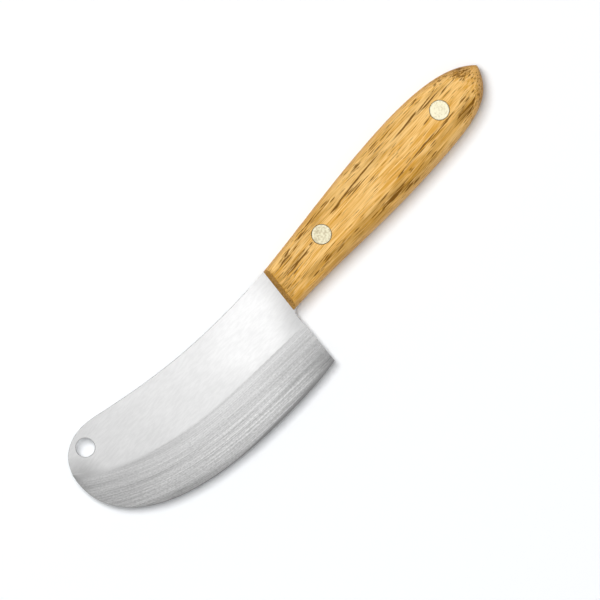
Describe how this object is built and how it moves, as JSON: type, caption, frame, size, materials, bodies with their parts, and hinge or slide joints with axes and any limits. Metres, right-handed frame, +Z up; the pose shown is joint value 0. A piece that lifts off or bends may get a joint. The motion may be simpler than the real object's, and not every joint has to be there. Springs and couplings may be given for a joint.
{
  "type": "cheese knife",
  "caption": "Cheese knife with a broad round-nosed steel blade, wide ground edge, hanging hole near the nose, and a full-tang handle of riveted wooden scales with a pointed butt.",
  "frame": {"origin": "under the middle of the knife's bounding box, on the surface that its far scale rests on", "axes": "+X along the handle from the blade towards the butt, +Y from the cutting edge towards the spine, +Z up from the far scale to the near scale"},
  "size_m": [0.2312, 0.058, 0.018],
  "materials": {
    "blade_steel": "satin flats, lengthwise ground edge band",
    "handle_wood": "oiled, open-pored golden ash or oak",
    "rivet_metal": "ground flush, finely speckled"
  },
  "bodies": {
    "root": {"blade": "blade_steel", "near_scale": "handle_wood", "far_scale": "handle_wood", "front_rivet_sleeve": "rivet_metal", "front_rivet_pin": "rivet_metal", "rear_rivet_sleeve": "rivet_metal", "rear_rivet_pin": "rivet_metal"}
  },
  "joints": []
}
